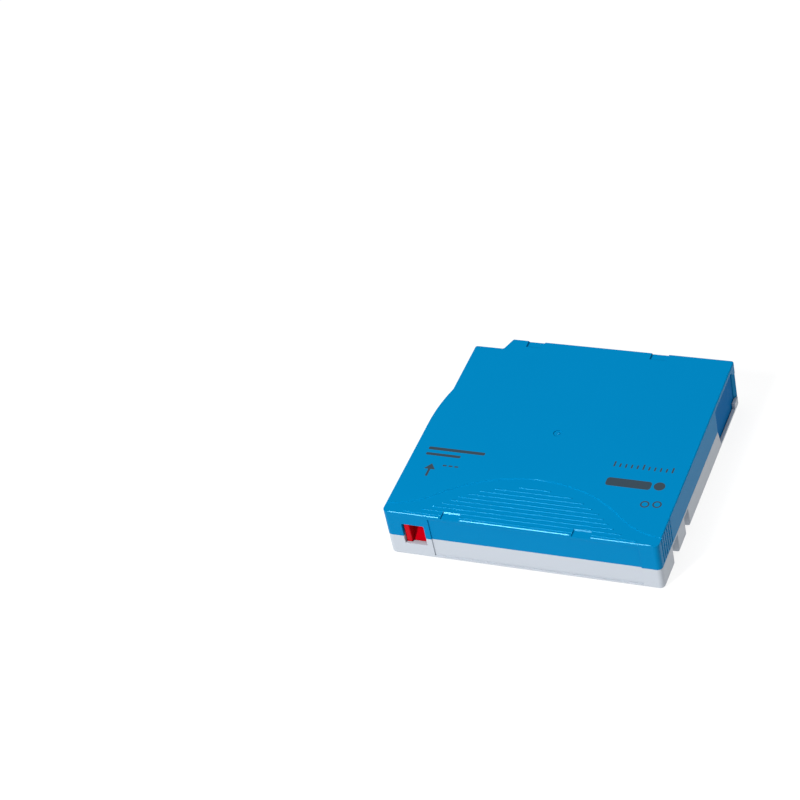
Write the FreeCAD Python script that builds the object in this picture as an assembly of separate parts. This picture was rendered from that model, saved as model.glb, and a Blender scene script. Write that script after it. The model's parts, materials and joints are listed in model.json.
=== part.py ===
"""Half-inch single-reel data tape cartridge, in millimetres, +Z up.

The origin is the centre of the bottom. +X runs to the right along the label face, +Y from the
label face to the end that goes into the drive. Each separate piece is one node in parts/.
"""
import FreeCAD, Part
import math
import os

V = FreeCAD.Vector
UP = V(0, 0, 1)

# ---- tape, reel and the case height that follows from them ----
TAPE_WIDTH = 12.65
TAPE_SIDE_PLAY = 0.2        # each side of the tape, between the flanges
FLANGE_T = 1.1
REEL_FLOAT = 1.325          # each side of the reel, to the floor and the roof
FLOOR = 1.8
ROOF = 1.8

# ---- case ----
WIDTH = 105.4
DEPTH = 102.0
HEIGHT = FLOOR + ROOF + 2 * (REEL_FLOAT + FLANGE_T + TAPE_SIDE_PLAY) + TAPE_WIDTH
PARTING_Z = 9.7             # where the two shells meet
SIDE_WALL = 2.0
FRONT_CORNER_R = 2.0
REAR_CORNER_R = 1.0
TOP_EDGE_R = 0.5
BOTTOM_EDGE_R = 1.2
TONGUE_T = 0.8              # lip on the lower shell that locates the upper one
TONGUE_H = 0.8
TONGUE_GAP = 0.1
PARTING_BEVEL = 0.15        # small bevel on the lower shell's rim, seen as the parting line
SINK = 0.3                  # how far a rib or boss grows out of the wall that carries it
BEYOND = 1.0                # how far a cut runs past the face it opens

# ---- insertion guide at the rear left ----
GUIDE_SETBACK = 2.75        # the left side steps in by this towards the rear
GUIDE_RAMP_DEG = 15.0
GUIDE_RAMP_FOOT = 42.6      # from the rear face
GUIDE_BLEND_R = 75.0
REAR_STEP = 6.0             # rear face steps forward at the left corner
REAR_STEP_TOP = 16.5        # from the left face
REAR_STEP_FOOT = 14.4
GUIDE_CORNER_R = 0.8

# ---- label recess and stacking notches ----
LABEL_LEFT = 17.7           # from the left face
LABEL_RIGHT = 7.4           # from the right face
LABEL_BOTTOM_Z = 1.5
LABEL_TOP_INSET = 1.9
LABEL_DEPTH = 0.4
NOTCH_CENTRES = (-26.25, 23.9)
NOTCH_W = 6.8
NOTCH_L = 3.9
NOTCH_DEPTH = 0.75
NOTCH_SLOPE = 0.6           # run of the sloping inner end

# ---- thumb grip on the top ----
GRIP_DEPTH = 0.3            # its edge slopes at 45 degrees
GRIP_CREST = 25.6           # arc's crest, from the front face
GRIP_ARC_R = 52.0
GRIP_BLEND_X = 35.0
GRIP_TAIL_R = 30.0
RIDGE_FIRST = 20.7          # rearmost ridge, from the front face
RIDGE_PITCH = 2.13
RIDGE_COUNT = 10
RIDGE_W = 0.55
RIDGE_CREST = 21.1          # crest of the curve that the ridges end on
RIDGE_ARC_R = 45.0
RIDGE_BLEND_X = 31.5
RIDGE_TAIL_R = 25.0
RIDGE_SHY = 0.02            # ridge's crest below the top
GATE_R = 1.75               # moulding gate mark at the reel's axis
GATE_DEPTH = 0.3

# ---- side grip grooves and handling notches ----
SIDE_GROOVE_FIRST = 4.0     # from the front face
SIDE_GROOVE_PITCH = 2.05
SIDE_GROOVE_COUNT = 6
SIDE_GROOVE_W = 0.9
SIDE_GROOVE_DEPTH = 0.5
SIDE_GROOVE_FOOT = 0.6      # above the parting plane
SIDE_GROOVE_HEAD = 0.4      # below the top
HANDLING_NOTCHES = ((13.1, 6.7), (28.3, 5.3))    # start behind the front face, length
HANDLING_DEPTH = 5.0
HANDLING_CEILING = 1.0
HANDLING_WALL = 1.2

# ---- screws ----
SCREW_INSETS = {"front_left": (4.7, 10.0), "front_right": (5.0, 7.4),
                "rear_left": (7.5, 10.0), "rear_right": (6.8, 5.1)}    # from the side, the end
BOSS_R = 3.3
SCREW_R = 1.3
SCREW_LENGTH = 13.0
SCREW_HEAD_R = 2.35
SCREW_HEAD_H = 1.6
SCREW_SUNK = 0.5            # head below the bottom face
SCREW_POCKET_GAP = 0.25
SCREW_CROSS_W = 0.8
SCREW_CROSS_L = 2.9
SCREW_CROSS_DEPTH = 0.9
THREAD_CLEAR = 0.05
SHANK_CLEAR = 0.2
SCREW_TIP_ROOM = 0.5

# ---- door ----
DOOR_SKIN = 1.2             # wall left outside the door's channel
DOOR_T = 1.5
DOOR_CLEAR = 0.15
DOOR_GROOVE = 0.7           # runner grooves in the floor and the roof
DOOR_LENGTH = 26.5
DOOR_TRAVEL = 16.2
DOOR_EDGE_R = 0.4
OPENING_UPPER = 27.6        # front end of the opening, from the rear face
OPENING_LOWER = 25.2
CORNER_LIP_H = 5.3          # gusset over the door's rear end
CORNER_LIP_L = 5.5
CORNER_BLOCK_Z = 4.1
CORNER_BLOCK_L = 5.0
CORNER_RELIEF = 0.5
SPRING_STOP_T = 1.0
SPRING_STOP_OVER = 1.8      # stop's height above the spring's axis
SPRING_STOP_WIDER = 1.2
DOOR_SPRING_SHUT = 5.55     # room for the squeezed spring when the door is open
DOOR_SPRING_Z = 6.2
DOOR_SPRING_R = 1.0
DOOR_SPRING_WIRE = 0.4
DOOR_SPRING_TURNS = 6
PEG_R = 0.6
PEG_L = 3.0

# ---- write-protect slider ----
WINDOW_LEFT = 6.7           # from the left face
WINDOW_W = 8.8
WINDOW_Z = (6.3, 15.8)
WINDOW_CORNER_R = 0.6
SLIDER_TRAVEL = 4.8
SLIDER_GAP = 0.1
SLIDER_OVERLAP = 0.8        # slider's height beyond the window, top and bottom
SLIDER_L = 15.6
SLIDER_T = 4.3
SLIDER_END_GAP = 0.2
SLIDER_SET_BACK = 1.4       # face left of the finger rib, behind the slider's front
FINGER_RIB_LEFT = 0.4       # from the window's left edge
FINGER_RIB_W = 2.2
FINGER_RIB_PROUD = 1.25
FINGER_RIB_EDGE_R = 0.4
SCOOP_W = 6.6
SCOOP_DEPTH = 3.6
SCOOP_SLOPE_OVER = 1.5      # sloping face ends this far above mid height
GUIDE_RIB_T = 0.8

# ---- reel ----
REEL_X = -1.2
REEL_Y = 0.5
REEL_GAP = 0.5              # flange rim to the nearest wall
PACK_SHY = 2.0              # tape pack's radius below the flange's
HUB_R = 22.0
HUB_WALL = 2.5
HUB_FLOOR_T = 2.225
HUB_BOSS_R = 19.0           # reaches down into the case's spindle opening
OPENING_GAP = 0.5
SEAT_RING_T = 1.5
SEAT_GAP = 0.125
DRIVE_TEETH = 60
DRIVE_TOOTH_R = (15.6, 18.6)
DRIVE_TOOTH_H = 1.2
DRIVE_TOOTH_W = (1.0, 0.45)  # at the root, at the tip
PLATE_R = (4.5, 14.4)
PLATE_T = 1.1
STAKE_R = 0.9
STAKE_AT = 9.5
STAKE_GAP = 0.05
FLANGE_BORE_R = 16.5
SPIGOT_H = 1.6
SPIGOT_T = 1.4
PACK_GAP = 0.05

# ---- brake and release pad ----
BRAKE_TEETH = 24
BRAKE_TOOTH_R = (12.0, 14.5)
BRAKE_TOOTH_W = (1.9, 0.9)   # at the root, at the tip
HUB_TOOTH_W = (2.73, 0.9)
HUB_TOOTH_H = 2.2
BRAKE_TOOTH_H = 1.5
BRAKE_MESH = 1.1
BRAKE_LIFT = 1.8
BRAKE_R = 15.2
BRAKE_T = 2.0
BRAKE_POST_R = 4.2
BRAKE_POST_H = 6.8
BRAKE_SLOT_W = 1.7
BRAKE_SLOT_FLOOR = 1.4
KEY_T = 1.3                 # cross key under the roof
KEY_HALF_L = 4.6
KEY_CLEAR = 0.4
BRAKE_SPRING_R = 6.0
BRAKE_SPRING_WIRE = 0.8
BRAKE_SPRING_TURNS = 3
SPRING_SEAT_GAP = 0.05
SEAT_WALL_T = 0.8
SEAT_WALL_H = 1.2
SEAT_CLEAR = 0.3
PAD_T = 0.8
PAD_GAP = 0.1
PAD_HUB_R = 5.0
PAD_ARM_W = 3.0
PAD_LEG_AT = 17.1
PAD_LEG_R = 1.3
PAD_LEG_GAP = 0.25
PAD_LEG_SHY = 0.5           # leg's end above the drive teeth's tips
PAD_TIP_R = 1.0
NUB_R = (1.0, 1.6)          # brake's nub that the pad pushes, at its tip and its root

# ---- leader pin, its springs, clamp and film ----
PIN_INSET_X = 6.2           # from the right face
PIN_INSET_Y = 14.2          # from the rear face
PIN_R = 1.3
PIN_END_R = 2.2
PIN_END_T = 0.6
PIN_END_PLAY = 0.85         # end disc beyond the tape's edge
PIN_SEAT_GAP = 0.1
PIN_CUP_T = 0.8
PIN_CUP_H = 0.9
PIN_CUP_OPEN = 0.6          # cup's wall stops this far short of the pin's axis
CLAMP_R = (1.45, 2.05)
CLAMP_MOUTH_DEG = 70.0
CLAMP_SHY = 0.3
FILM_T = 0.1
FILM_PACK_GAP = 0.3
FILM_PIN_GAP = 0.05
LEAF_T = 0.3
LEAF_H = 1.5
LEAF_FRONT = 2.3            # leaf reaches this far in front of the pin's axis
LEAF_REAR = 5.6
LEAF_HOOK = 2.6
LEAF_BOW = 0.6              # inner radius of the hook's bend
LEAF_BEND_R = 0.1
LEAF_SHY = 0.4              # leaf's height below its block's
LEAF_BLOCK_T = 0.7
LEAF_BLOCK_BACK = 0.4
LEAF_SLOT_GAP = 0.05

# ---- memory board ----
BOARD_L = 18.0
BOARD_W = 9.0
BOARD_T = 0.8
BOARD_INSET_X = 18.7        # board's centre, from the right face
BOARD_INSET_Y = 3.7         # board's centre, from the front wall
BOARD_EDGE_R = 0.5
BOARD_Z = 6.0
CRADLE_T = 2.0
CRADLE_SPAN = 14.0
CRADLE_GAP = 0.1
CRADLE_STOP_T = 0.8
CRADLE_STOP_H = 2.0
CHIP_L = 3.0
CHIP_T = 0.6

# ---- locating sockets under the insertion end ----
SOCKET_ROUND = (33.5, 5.5)      # X, then inset from the rear face
SOCKET_SLOT = (-29.5, 5.5)
SOCKET_R = 2.0
SOCKET_SLOT_L = 3.0
SOCKET_DEPTH = 4.0
SOCKET_WALL = 1.2

# ---- worked out ----
LEFT, RIGHT = -WIDTH / 2, WIDTH / 2
FRONT, REAR = -DEPTH / 2, DEPTH / 2
ROOF_Z = HEIGHT - ROOF
FLANGE_LOW = FLOOR + REEL_FLOAT
FLANGE_LOW_TOP = FLANGE_LOW + FLANGE_T
TAPE_LOW = FLANGE_LOW_TOP + TAPE_SIDE_PLAY
TAPE_TOP = TAPE_LOW + TAPE_WIDTH
FLANGE_UP = TAPE_TOP + TAPE_SIDE_PLAY
DOOR_OUT = RIGHT - DOOR_SKIN - DOOR_CLEAR
DOOR_IN = DOOR_OUT - DOOR_T
DOOR_REAR = REAR - SIDE_WALL - DOOR_CLEAR
DOOR_FRONT = DOOR_REAR - DOOR_LENGTH
CHANNEL_X = (DOOR_IN - DOOR_CLEAR, RIGHT - DOOR_SKIN)
STOP_REAR = DOOR_FRONT - DOOR_TRAVEL - DOOR_SPRING_SHUT
CHANNEL_FRONT = STOP_REAR - SPRING_STOP_T
DOOR_SPRING_X = CHANNEL_X[1] - DOOR_SPRING_R - DOOR_SPRING_WIRE / 2 - DOOR_CLEAR
RAMP = math.radians(GUIDE_RAMP_DEG)
RAMP_FOOT_Y = REAR - GUIDE_RAMP_FOOT
RAMP_HEAD_Y = RAMP_FOOT_Y + GUIDE_SETBACK / math.tan(RAMP)
RAMP_ROOM = (REEL_X - LEFT) * math.cos(RAMP) + (RAMP_FOOT_Y - REEL_Y) * math.sin(RAMP)
FLANGE_R = min(REAR - REEL_Y, REEL_Y - FRONT - LABEL_DEPTH, RAMP_ROOM,
               REEL_X - LEFT, DOOR_IN - DOOR_CLEAR + SIDE_WALL - REEL_X) - SIDE_WALL - REEL_GAP
PACK_R = FLANGE_R - PACK_SHY
HUB_FLOOR_LOW = FLANGE_LOW_TOP - HUB_FLOOR_T
DRIVE_TIP_Z = HUB_FLOOR_LOW - DRIVE_TOOTH_H
HUB_TOOTH_TIP_Z = FLANGE_LOW_TOP + HUB_TOOTH_H
BRAKE_LOW = HUB_TOOTH_TIP_Z - BRAKE_MESH + BRAKE_TOOTH_H
BRAKE_TOP = BRAKE_LOW + BRAKE_T
PAD_LOW = FLANGE_LOW_TOP + PAD_GAP
PAD_TOP = PAD_LOW + PAD_T
KEY_LOW = BRAKE_TOP + BRAKE_SLOT_FLOOR + BRAKE_LIFT + KEY_CLEAR
BRAKE_SEAT_R = BRAKE_SPRING_R + BRAKE_SPRING_WIRE / 2 + SEAT_CLEAR
PIN_X = RIGHT - PIN_INSET_X
PIN_Y = REAR - PIN_INSET_Y
PIN_LOW = TAPE_LOW - PIN_END_PLAY - PIN_END_T + PIN_SEAT_GAP
PIN_TOP = TAPE_TOP + PIN_END_PLAY + PIN_END_T - PIN_SEAT_GAP
LEAF_X = PIN_X + PIN_END_R + PIN_SEAT_GAP
BOARD_X = RIGHT - BOARD_INSET_X
WALL_IN = FRONT + SIDE_WALL
BOARD_Y = WALL_IN + BOARD_INSET_Y
WINDOW_X = (LEFT + WINDOW_LEFT, LEFT + WINDOW_LEFT + WINDOW_W)
SLIDER_FRONT = WALL_IN + SLIDER_GAP
SLIDER_BACK = SLIDER_FRONT + SLIDER_T
SLIDER_LEFT = WINDOW_X[0] - SLIDER_OVERLAP
SLIDER_RIGHT = SLIDER_LEFT + SLIDER_L
SLIDER_Z = (WINDOW_Z[0] - SLIDER_OVERLAP, WINDOW_Z[1] + SLIDER_OVERLAP)


# ---- simple forms ----
def box(x0, x1, y0, y1, z0, z1):
    return Part.makeBox(x1 - x0, y1 - y0, z1 - z0, V(x0, y0, z0))


def rod(x, y, r, z0, z1):
    return Part.makeCylinder(r, z1 - z0, V(x, y, z0), UP)


def ring(x, y, r_in, r_out, z0, z1):
    return rod(x, y, r_out, z0, z1).cut(rod(x, y, r_in, z0 - BEYOND, z1 + BEYOND))


def prism(wire, z0, z1):
    flat = wire.copy()
    flat.translate(V(0, 0, z0))
    return Part.Face(flat).extrude(V(0, 0, z1 - z0))


def slab(points, start, along):
    """A flat polygon, given by its corner points, pushed along a vector."""
    corners = [V(*p) + start for p in points]
    return Part.Face(Part.makePolygon(corners + corners[:1])).extrude(along)


def around(solid, angle_deg):
    """A copy turned about the reel's axis."""
    turned = solid.copy()
    turned.rotate(V(REEL_X, REEL_Y, 0), UP, angle_deg)
    return turned


def upright(edge):
    start, end = edge.Vertexes[0], edge.Vertexes[-1]
    return abs(start.Z - end.Z) > 1e-3 and math.hypot(start.X - end.X, start.Y - end.Y) < 1e-6


def rounded_wire(corners):
    """Closed wire through (x, y, radius) corners, each rounded by a tangent arc."""
    edges, ends = [], []
    count = len(corners)
    for i, (x, y, r) in enumerate(corners):
        here = V(x, y, 0)
        back = (V(*corners[i - 1][:2], 0) - here).normalize()
        ahead = (V(*corners[(i + 1) % count][:2], 0) - here).normalize()
        half = back.getAngle(ahead) / 2
        reach = r / math.tan(half)
        middle = (back + ahead).normalize()
        centre = here + middle * (r / math.sin(half))
        ends.append((here + back * reach, centre - middle * r, here + ahead * reach))
    for i, (start, mid, end) in enumerate(ends):
        edges.append(Part.Arc(start, mid, end).toShape())
        edges.append(Part.LineSegment(end, ends[(i + 1) % count][0]).toShape())
    return Part.Wire(edges)


def inset(corners, t):
    """The same corners moved inwards by a wall, with each radius kept concentric."""
    moved, count = [], len(corners)
    for i, (x, y, r) in enumerate(corners):
        px, py, _ = corners[i - 1]
        nx, ny, _ = corners[(i + 1) % count]
        a, b = math.atan2(y - py, x - px), math.atan2(ny - y, nx - x)
        turn = math.remainder(b - a, 2 * math.pi)
        shift = t / math.cos(turn / 2)
        middle = a + turn / 2 + math.pi / 2
        new_r = max(r - t, 0.3) if turn > 0 else r + t
        moved.append((x + shift * math.cos(middle), y + shift * math.sin(middle), new_r))
    return moved


def case_corners():
    return [(LEFT, FRONT, FRONT_CORNER_R), (RIGHT, FRONT, FRONT_CORNER_R),
            (RIGHT, REAR, REAR_CORNER_R), (LEFT + REAR_STEP_TOP, REAR, GUIDE_CORNER_R),
            (LEFT + REAR_STEP_FOOT, REAR - REAR_STEP, GUIDE_CORNER_R),
            (LEFT + GUIDE_SETBACK, REAR - REAR_STEP, REAR_CORNER_R),
            (LEFT + GUIDE_SETBACK, RAMP_HEAD_Y, GUIDE_CORNER_R), (LEFT, RAMP_FOOT_Y, GUIDE_BLEND_R)]


def case_prism(wall, z0, z1):
    return prism(rounded_wire(inset(case_corners(), wall)), z0, z1)


def round_rim(body, z, r):
    rim = [e for e in body.Edges if all(abs(v.Z - z) < 1e-6 for v in e.Vertexes)]
    return body.makeFillet(r, rim)


def helix_spring(radius, wire, turns, length):
    """Open coil spring of square wire along +Z from the origin, filling the length."""
    run = length - wire
    path = Part.makeHelix(run / turns, run, radius)
    half = wire / 2
    section = Part.makePolygon([V(radius + x * half, 0, z * half)
                                for x, z in ((-1, -1), (1, -1), (1, 1), (-1, 1), (-1, -1))])
    coil = Part.Wire(path).makePipeShell([section], True, True)
    coil.translate(V(0, 0, wire / 2))
    return coil


def face_teeth(count, radii, widths, z_root, z_tip, keep=lambda angle: True):
    """Radial teeth on a flat face, tapering from root to tip, where keep allows them."""
    sink = SINK if z_tip > z_root else -SINK
    root, tip = widths
    profile = [(radii[0], -root / 2, z_root - sink), (radii[0], root / 2, z_root - sink),
               (radii[0], root / 2, z_root), (radii[0], tip / 2, z_tip),
               (radii[0], -tip / 2, z_tip), (radii[0], -root / 2, z_root)]
    tooth = slab(profile, V(REEL_X, REEL_Y, 0), V(radii[1] - radii[0], 0, 0))
    angles = [i * 360.0 / count for i in range(count)]
    return [around(tooth, a) for a in angles if keep(a)]


def boss_room():
    """The case's inside and half of its side wall, which keeps bosses off its outer faces."""
    return case_prism(SIDE_WALL / 2, 0, HEIGHT)


def cradle_places():
    return BOARD_X - CRADLE_SPAN / 2, BOARD_X + CRADLE_SPAN / 2


def screw_places():
    side = {"left": (LEFT, 1), "right": (RIGHT, -1)}
    end = {"front": (FRONT, 1), "rear": (REAR, -1)}
    places = []
    for name, (dx, dy) in SCREW_INSETS.items():
        e, s = name.split("_")
        places.append((side[s][0] + side[s][1] * dx, end[e][0] + end[e][1] * dy))
    return places


# ---- cuts that both shells share ----
def door_channel():
    return box(*CHANNEL_X, CHANNEL_FRONT, REAR - SIDE_WALL, FLOOR - DOOR_GROOVE, ROOF_Z + DOOR_GROOVE)


def door_opening():
    """The side opening: its front end slants below the parting plane, as the wall's end does."""
    rear = REAR - SIDE_WALL
    upper, lower = REAR - OPENING_UPPER, REAR - OPENING_LOWER
    lip_z, lip_y = HEIGHT - CORNER_LIP_H, REAR - CORNER_LIP_L
    block_y = REAR - CORNER_BLOCK_L
    outline = [(0, lower, FLOOR), (0, block_y, FLOOR), (0, block_y, CORNER_BLOCK_Z),
               (0, rear, CORNER_BLOCK_Z), (0, rear, lip_z), (0, lip_y, ROOF_Z),
               (0, upper, ROOF_Z), (0, upper, PARTING_Z)]
    hole = slab(outline, V(RIGHT - SIDE_WALL, 0, 0), V(SIDE_WALL + BEYOND, 0, 0))
    out_x, out_y = RIGHT + BEYOND, REAR + BEYOND
    end_x = RIGHT - CORNER_RELIEF
    relief = slab([(out_x, rear, 0), (DOOR_OUT, rear, 0), (end_x, REAR, 0), (end_x, out_y, 0),
                   (out_x, out_y, 0)], V(0, 0, CORNER_BLOCK_Z), V(0, 0, lip_z - CORNER_BLOCK_Z))
    return hole.fuse(relief)


def label_recess():
    return box(LEFT + LABEL_LEFT, RIGHT - LABEL_RIGHT, FRONT - BEYOND, FRONT + LABEL_DEPTH,
               LABEL_BOTTOM_Z, HEIGHT - LABEL_TOP_INSET)


def write_protect_window():
    hole = box(*WINDOW_X, FRONT - BEYOND, WALL_IN + SINK, *WINDOW_Z)
    along_y = [e for e in hole.Edges if abs(e.Vertexes[0].Y - e.Vertexes[1].Y) > 1
               and e.Vertexes[0].Z > PARTING_Z]
    return hole.makeFillet(WINDOW_CORNER_R, along_y)


# ---- upper shell ----
def grip_tail(crest_y, arc_r, blend_x, tail_r):
    """Blend point and centre of the tail arc that leaves the grip's main arc."""
    lean = math.asin(blend_x / arc_r)
    blend_y = crest_y - arc_r + arc_r * math.cos(lean)
    return lean, blend_y, blend_x + tail_r * math.sin(lean), blend_y + tail_r * math.cos(lean)


def grip_wire(z, out):
    """The grip's outline at height z, its curved edge moved back by out."""
    arc_r, tail_r = GRIP_ARC_R + out, GRIP_TAIL_R - out
    crest, blend_x = FRONT + GRIP_CREST + out, GRIP_BLEND_X * arc_r / GRIP_ARC_R
    lean, blend_y, tail_x, tail_y = grip_tail(crest, arc_r, blend_x, tail_r)
    low = tail_y - tail_r
    mid_x = tail_x - tail_r * math.sin(lean / 2)
    mid_y = tail_y - tail_r * math.cos(lean / 2)
    near, far = FRONT - BEYOND, max(RIGHT, tail_x) + BEYOND
    edges = [Part.LineSegment(V(-far, low, z), V(-tail_x, low, z)).toShape(),
             Part.Arc(V(-tail_x, low, z), V(-mid_x, mid_y, z), V(-blend_x, blend_y, z)).toShape(),
             Part.Arc(V(-blend_x, blend_y, z), V(0, crest, z), V(blend_x, blend_y, z)).toShape(),
             Part.Arc(V(blend_x, blend_y, z), V(mid_x, mid_y, z), V(tail_x, low, z)).toShape(),
             Part.LineSegment(V(tail_x, low, z), V(far, low, z)).toShape(),
             Part.LineSegment(V(far, low, z), V(far, near, z)).toShape(),
             Part.LineSegment(V(far, near, z), V(-far, near, z)).toShape(),
             Part.LineSegment(V(-far, near, z), V(-far, low, z)).toShape()]
    return Part.Wire(edges)


def grip_recess():
    low, high = HEIGHT - GRIP_DEPTH, HEIGHT + BEYOND
    return Part.makeLoft([grip_wire(low, 0), grip_wire(high, high - low)], True, True)


def grip_ridges():
    crest = FRONT + RIDGE_CREST
    _, blend_y, tail_x, tail_y = grip_tail(crest, RIDGE_ARC_R, RIDGE_BLEND_X, RIDGE_TAIL_R)
    low, ridges = HEIGHT - GRIP_DEPTH, []
    for i in range(RIDGE_COUNT):
        y = FRONT + RIDGE_FIRST - i * RIDGE_PITCH
        if y > blend_y:
            half = math.sqrt(RIDGE_ARC_R ** 2 - (y - crest + RIDGE_ARC_R) ** 2)
        else:
            half = tail_x - math.sqrt(RIDGE_TAIL_R ** 2 - (tail_y - y) ** 2)
        ridges.append(slab([(0, y - RIDGE_W / 2, low - SINK), (0, y + RIDGE_W / 2, low - SINK),
                            (0, y + RIDGE_W / 2, low), (0, y, HEIGHT - RIDGE_SHY), (0, y - RIDGE_W / 2, low)],
                           V(-half, 0, 0), V(2 * half, 0, 0)))
    return ridges


def stacking_notches():
    low, high = HEIGHT - NOTCH_DEPTH, HEIGHT + BEYOND
    run = NOTCH_SLOPE * (high - low) / NOTCH_DEPTH
    cuts = []
    for x in NOTCH_CENTRES:
        for face, sign in ((FRONT, 1), (REAR, -1)):
            inner, outer = face + sign * (NOTCH_L - NOTCH_SLOPE), face - sign * BEYOND
            cuts.append(slab([(0, outer, low), (0, inner, low), (0, inner + sign * run, high),
                              (0, outer, high)], V(x - NOTCH_W / 2, 0, 0), V(NOTCH_W, 0, 0)))
    return cuts


def side_grooves():
    cuts = []
    foot = PARTING_Z + SIDE_GROOVE_FOOT
    for i in range(SIDE_GROOVE_COUNT):
        y = FRONT + SIDE_GROOVE_FIRST + i * SIDE_GROOVE_PITCH
        for side, sign in ((RIGHT, 1), (LEFT, -1)):
            deep = side - sign * SIDE_GROOVE_DEPTH
            cuts.append(slab([(side + sign, y - SIDE_GROOVE_W, 0), (side + sign, y + SIDE_GROOVE_W, 0),
                              (side, y + SIDE_GROOVE_W / 2, 0), (deep, y + SIDE_GROOVE_W / 4, 0),
                              (deep, y - SIDE_GROOVE_W / 4, 0), (side, y - SIDE_GROOVE_W / 2, 0)],
                             V(0, 0, foot), V(0, 0, HEIGHT - SIDE_GROOVE_HEAD - foot)))
    return cuts


def slider_guides(z0, z1, z_shelf, shelf_down):
    """Rail behind the slider, the shelf it runs on and an end stop each way."""
    x0 = SLIDER_LEFT - SLIDER_END_GAP
    x1 = SLIDER_RIGHT + SLIDER_TRAVEL + SLIDER_END_GAP
    rail_y = SLIDER_BACK + SLIDER_GAP
    reach = (WALL_IN - SINK, rail_y + SINK)
    shelf = (z0, z_shelf) if shelf_down else (z_shelf, z1)
    return [box(x0 - GUIDE_RIB_T, x1 + GUIDE_RIB_T, rail_y, rail_y + GUIDE_RIB_T, z0, z1),
            box(x0, x1, *reach, *shelf),
            box(x0 - GUIDE_RIB_T, x0, *reach, z0, z1),
            box(x1, x1 + GUIDE_RIB_T, *reach, z0, z1)]


def pin_cup(z_face, z_lip, z_base):
    """Half cup in a shell that the leader pin's end disc seats in, open towards the door."""
    low, high = sorted((z_base, z_face))
    lip_low, lip_high = sorted((z_base, z_lip))
    inner = PIN_END_R + PIN_SEAT_GAP
    wall = ring(PIN_X, PIN_Y, inner, inner + PIN_CUP_T, lip_low, lip_high)
    wall = wall.cut(box(PIN_X - PIN_CUP_OPEN, RIGHT, PIN_Y - SIDE_WALL * 2, REAR, lip_low, lip_high))
    return [rod(PIN_X, PIN_Y, inner + PIN_CUP_T / 2, low, high), wall]


def leaf_block(z0, z1):
    """Slotted block that grips a leaf spring's hook."""
    y = PIN_Y + LEAF_REAR
    x0, x1 = LEAF_X - LEAF_HOOK - LEAF_BLOCK_BACK, LEAF_X - LEAF_BLOCK_BACK
    block = box(x0, x1, y - LEAF_T - LEAF_BLOCK_T, y + LEAF_BLOCK_T, z0, z1)
    slot_z = (z0 + SINK, z1 + BEYOND) if z0 < PARTING_Z else (z0 - BEYOND, z1 - SINK)
    return block.cut(box(x0 - BEYOND, x1 + BEYOND, y - LEAF_T - LEAF_SLOT_GAP, y + LEAF_SLOT_GAP, *slot_z))


def upper_shell():
    body = round_rim(case_prism(0, PARTING_Z, HEIGHT), HEIGHT, TOP_EDGE_R)
    body = body.cut(case_prism(SIDE_WALL, PARTING_Z - BEYOND, ROOF_Z))
    gate = rod(REEL_X, REEL_Y, GATE_R, HEIGHT - GATE_DEPTH, HEIGHT + BEYOND)
    body = body.cut([grip_recess()] + stacking_notches() + side_grooves() + [gate])
    ridges = [r.cut(Part.makeCompound(stacking_notches())) for r in grip_ridges()]
    rooted = ROOF_Z + SINK
    rib_z = PARTING_Z + TONGUE_GAP
    bosses = [rod(x, y, BOSS_R, PARTING_Z, rooted).common(boss_room()) for x, y in screw_places()]
    key = [box(REEL_X - half_x, REEL_X + half_x, REEL_Y - half_y, REEL_Y + half_y, KEY_LOW, rooted)
           for half_x, half_y in ((KEY_HALF_L, KEY_T / 2), (KEY_T / 2, KEY_HALF_L))]
    board_ribs = [box(x - CRADLE_T / 2, x + CRADLE_T / 2, WALL_IN - SINK, BOARD_Y, rib_z, rooted)
                  for x in cradle_places()]
    guides = slider_guides(rib_z, rooted, SLIDER_Z[1] + SLIDER_GAP, False)
    cup = pin_cup(PIN_TOP + PIN_SEAT_GAP, PIN_TOP - PIN_CUP_H, rooted)
    leaf = leaf_block(PIN_TOP - LEAF_H, rooted)
    body = body.fuse(ridges + bosses + key + board_ribs + guides + cup + [leaf])
    tip_z = SCREW_SUNK + SCREW_HEAD_H + SCREW_LENGTH + SCREW_TIP_ROOM
    holes = [rod(x, y, SCREW_R + THREAD_CLEAR, PARTING_Z - BEYOND, tip_z) for x, y in screw_places()]
    rebate_z = (PARTING_Z - BEYOND, PARTING_Z + TONGUE_H + TONGUE_GAP)
    rebate = case_prism(SIDE_WALL - TONGUE_T - TONGUE_GAP, *rebate_z)
    rebate = rebate.cut(case_prism(SIDE_WALL + TONGUE_GAP, *rebate_z))
    body = body.cut(holes + [rebate, door_channel(), door_opening(), label_recess(), write_protect_window()])
    return body.removeSplitter()


# ---- lower shell ----
def handling_notches():
    """(notch cut, its inner lining) for the two on the right and the matching one on the left."""
    pairs = []
    top = PARTING_Z - HANDLING_CEILING
    for side, sign, notches in ((RIGHT, 1, HANDLING_NOTCHES), (LEFT, -1, HANDLING_NOTCHES[:1])):
        for start, length in notches:
            y0, y1 = FRONT + start, FRONT + start + length
            deep = side - sign * HANDLING_DEPTH
            lined = deep - sign * HANDLING_WALL
            cut = box(min(deep, side + sign), max(deep, side + sign), y0, y1, -BEYOND, top)
            inner = side - sign * SINK
            lining = box(min(lined, inner), max(lined, inner), y0 - HANDLING_WALL, y1 + HANDLING_WALL,
                         BOTTOM_EDGE_R, PARTING_Z)
            pairs.append((cut, lining))
    return pairs


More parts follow.
